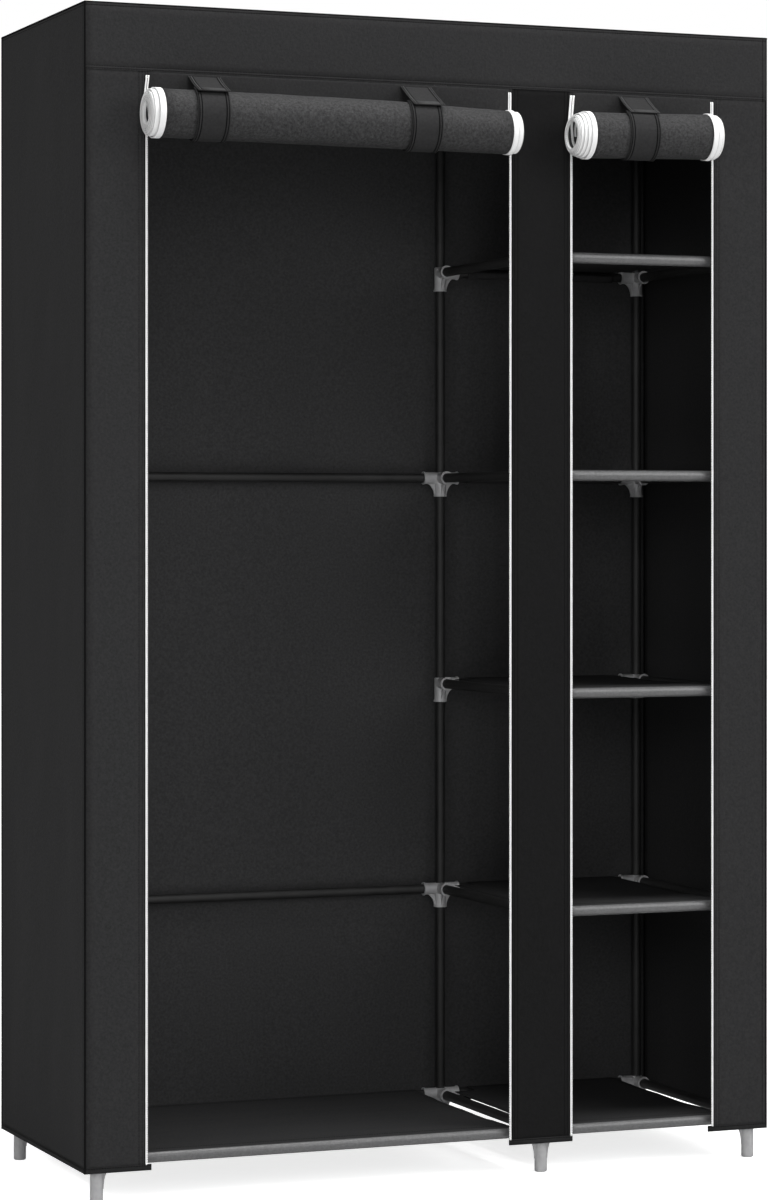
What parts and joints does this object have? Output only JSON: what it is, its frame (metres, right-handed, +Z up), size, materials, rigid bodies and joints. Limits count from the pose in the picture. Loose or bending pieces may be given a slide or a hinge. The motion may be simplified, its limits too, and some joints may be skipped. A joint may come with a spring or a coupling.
{
  "type": "portable fabric wardrobe",
  "caption": "Tube-framed wardrobe with a fabric cover, a tall hanging bay and a bay of shelves, each behind a zipped door shown rolled up and strapped.",
  "frame": {"origin": "middle of the footprint on the floor, rolled doors included", "axes": "+Z up, +X to the right of someone facing the doors, the doors at -Y"},
  "size_m": [1.103, 0.5294, 1.7438],
  "materials": {
    "frame_posts": "satin black tubes in grey plastic connectors",
    "frame_tubes": "satin black",
    "shelf_fabric": "matt non-woven",
    "cover_fabric": "matt non-woven",
    "strap_fabric": "matt woven tape",
    "slider_metal": "satin light grey"
  },
  "bodies": {
    "frame_and_cover": {"post_left_front": "frame_posts", "post_left_back": "frame_posts", "post_centre_front": "frame_posts", "post_centre_back": "frame_posts", "post_right_front": "frame_posts", "post_right_back": "frame_posts", "depth_rail_left_floor": "frame_tubes", "depth_rail_left_level_1": "frame_tubes", "depth_rail_left_level_3": "frame_tubes", "depth_rail_left_top": "frame_tubes", "depth_rail_centre_floor": "frame_tubes", "depth_rail_centre_level_1": "frame_tubes", "depth_rail_centre_level_2": "frame_tubes", "depth_rail_centre_level_3": "frame_tubes", "depth_rail_centre_level_4": "frame_tubes", "depth_rail_centre_top": "frame_tubes", "depth_rail_right_floor": "frame_tubes", "depth_rail_right_level_1": "frame_tubes", "depth_rail_right_level_2": "frame_tubes", "depth_rail_right_level_3": "frame_tubes", "depth_rail_right_level_4": "frame_tubes", "depth_rail_right_top": "frame_tubes", "width_rail_left_front_floor": "frame_tubes", "width_rail_left_front_top": "frame_tubes", "width_rail_right_front_floor": "frame_tubes", "width_rail_right_front_level_1": "frame_tubes", "width_rail_right_front_level_2": "frame_tubes", "width_rail_right_front_level_3": "frame_tubes", "width_rail_right_front_level_4": "frame_tubes", "width_rail_right_front_top": "frame_tubes", "width_rail_left_back_floor": "frame_tubes", "width_rail_left_back_level_1": "frame_tubes", "width_rail_left_back_level_3": "frame_tubes", "width_rail_left_back_top": "frame_tubes", "width_rail_right_back_floor": "frame_tubes", "width_rail_right_back_level_1": "frame_tubes", "width_rail_right_back_level_2": "frame_tubes", "width_rail_right_back_level_3": "frame_tubes", "width_rail_right_back_level_4": "frame_tubes", "width_rail_right_back_top": "frame_tubes", "hanging_rod": "frame_tubes", "shelf_left_floor": "shelf_fabric", "shelf_right_floor": "shelf_fabric", "shelf_right_level_1": "shelf_fabric", "shelf_right_level_2": "shelf_fabric", "shelf_right_level_3": "shelf_fabric", "shelf_right_level_4": "shelf_fabric", "cover": "cover_fabric", "strap_loop_left_1": "strap_fabric", "strap_loop_left_2": "strap_fabric", "strap_loop_right_1": "strap_fabric"},
    "door_left": {"door_left": "cover_fabric"},
    "door_right": {"door_right": "cover_fabric"},
    "strap_tab_left_1": {"strap_tab_left_1": "strap_fabric"},
    "strap_tab_left_2": {"strap_tab_left_2": "strap_fabric"},
    "strap_tab_right_1": {"strap_tab_right_1": "strap_fabric"},
    "zip_slider_left_door_left": {"zip_slider_left_door_left": "slider_metal"},
    "zip_slider_left_door_right": {"zip_slider_left_door_right": "slider_metal"},
    "zip_slider_right_door_left": {"zip_slider_right_door_left": "slider_metal"},
    "zip_slider_right_door_right": {"zip_slider_right_door_right": "slider_metal"}
  },
  "joints": [
    {"name": "door_left_unrolls", "type": "slide", "parent": "frame_and_cover", "child": "door_left", "axis": [0, 0, -1], "range_m": [0, 1.47], "deforming": ["strap_loop_left_1", "strap_loop_left_2"]},
    {"name": "door_right_unrolls", "type": "slide", "parent": "frame_and_cover", "child": "door_right", "axis": [0, 0, -1], "range_m": [0, 1.47], "deforming": ["strap_loop_right_1"]},
    {"name": "strap_tab_left_1_lifts", "type": "hinge", "parent": "frame_and_cover", "child": "strap_tab_left_1", "pos_m": [0, -0.18775, 1.6483], "axis": [-1, 0, 0], "range_deg": [0, 110]},
    {"name": "strap_tab_left_2_lifts", "type": "hinge", "parent": "frame_and_cover", "child": "strap_tab_left_2", "pos_m": [0, -0.18775, 1.6483], "axis": [-1, 0, 0], "range_deg": [0, 110]},
    {"name": "strap_tab_right_1_lifts", "type": "hinge", "parent": "frame_and_cover", "child": "strap_tab_right_1", "pos_m": [0, -0.18775, 1.6483], "axis": [-1, 0, 0], "range_deg": [0, 110]},
    {"name": "zip_slider_left_door_left_runs", "type": "slide", "parent": "frame_and_cover", "child": "zip_slider_left_door_left", "axis": [0, 0, -1], "range_m": [0, 1.5]},
    {"name": "zip_slider_left_door_right_runs", "type": "slide", "parent": "frame_and_cover", "child": "zip_slider_left_door_right", "axis": [0, 0, -1], "range_m": [0, 1.5]},
    {"name": "zip_slider_right_door_left_runs", "type": "slide", "parent": "frame_and_cover", "child": "zip_slider_right_door_left", "axis": [0, 0, -1], "range_m": [0, 1.5]},
    {"name": "zip_slider_right_door_right_runs", "type": "slide", "parent": "frame_and_cover", "child": "zip_slider_right_door_right", "axis": [0, 0, -1], "range_m": [0, 1.5]}
  ]
}
